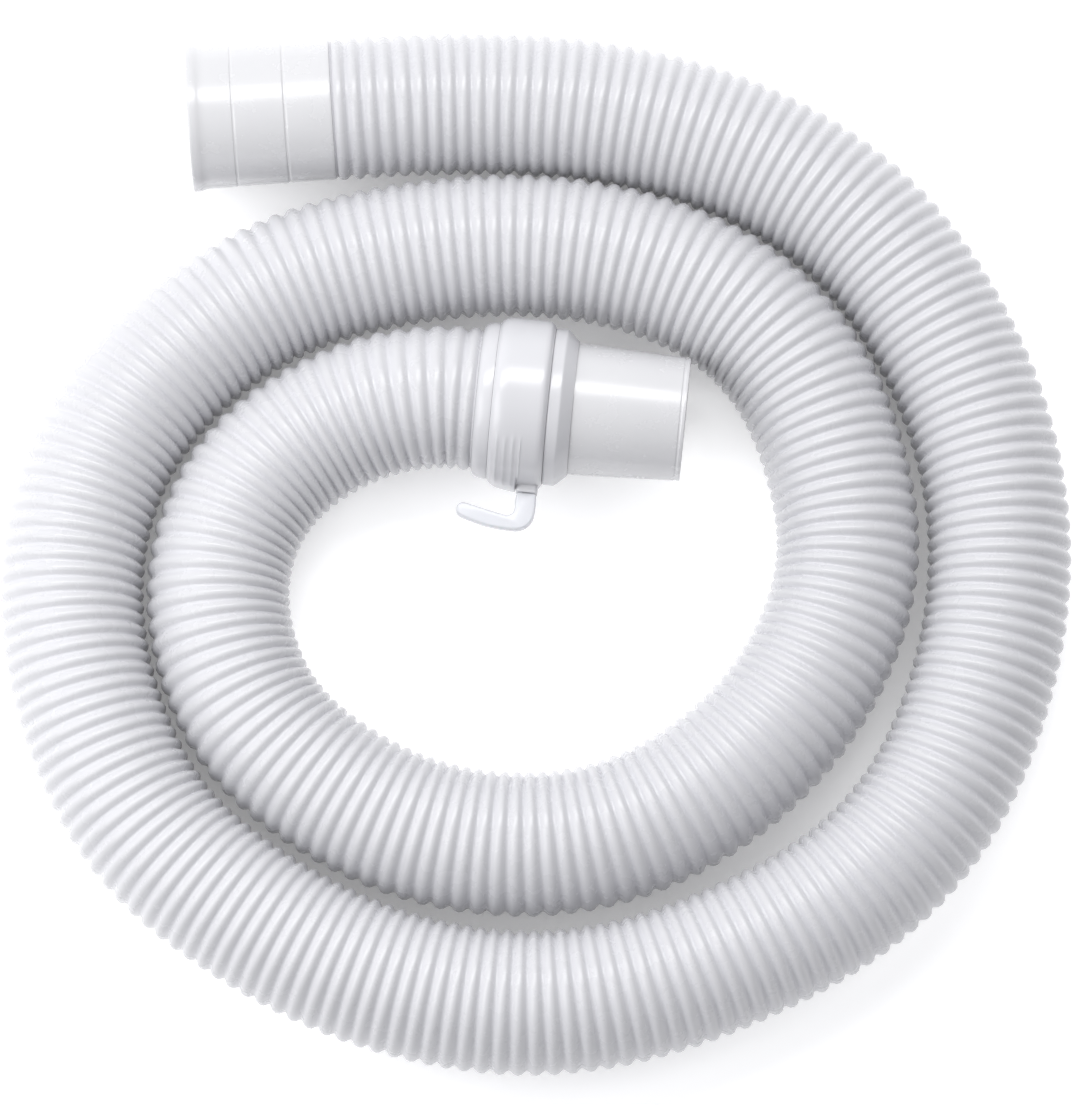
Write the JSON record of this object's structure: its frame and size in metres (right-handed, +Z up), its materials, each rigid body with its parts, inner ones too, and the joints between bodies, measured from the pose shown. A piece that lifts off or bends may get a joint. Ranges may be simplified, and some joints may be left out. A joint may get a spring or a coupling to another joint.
{
  "type": "vacuum hose",
  "caption": "Corrugated pool vacuum hose lying in a flat coil, with a plain cuff on the outer end and a swivel cuff and hanging hook on the inner end.",
  "frame": {"origin": "middle of the coil's bounding box, on the surface that it lies on", "axes": "+Z up out of the coil, +X along the inner end's hose towards the swivel cuff's mouth, +Y from the hook's side of that cuff to the outer end"},
  "size_m": [0.3568, 0.3541, 0.0569],
  "materials": {
    "hose_plastic": "satin white blow-moulded corrugation",
    "cuff_plastic": "smooth satin white moulding",
    "ring_plastic": "satin white moulding",
    "hook_plastic": "milky translucent moulding",
    "seal_rubber": "black nitrile",
    "washer_plastic": "grey low-friction plastic"
  },
  "bodies": {
    "hose_body": {"hose": "hose_plastic", "plain_cuff": "cuff_plastic", "cuff_sleeve": "ring_plastic", "hose_tail": "ring_plastic", "swivel_collar": "ring_plastic", "seal_ring": "seal_rubber", "thrust_washer": "washer_plastic", "retaining_ring": "ring_plastic"},
    "swivel_body": {"swivel_cuff": "cuff_plastic"},
    "hook_body": {"hanging_hook": "hook_plastic"}
  },
  "joints": [
    {"name": "cuff_swivel", "type": "hinge", "parent": "hose_body", "child": "swivel_body", "pos_m": [-0.00119, 0.04746, 0.0285], "axis": [0.9951, -0.0993, 0], "continuous": true},
    {"name": "hook_turn", "type": "hinge", "parent": "hose_body", "child": "hook_body", "pos_m": [-0.00328, 0.01752, 0.0285], "axis": [-0.0993, -0.9951, 0], "continuous": true}
  ]
}
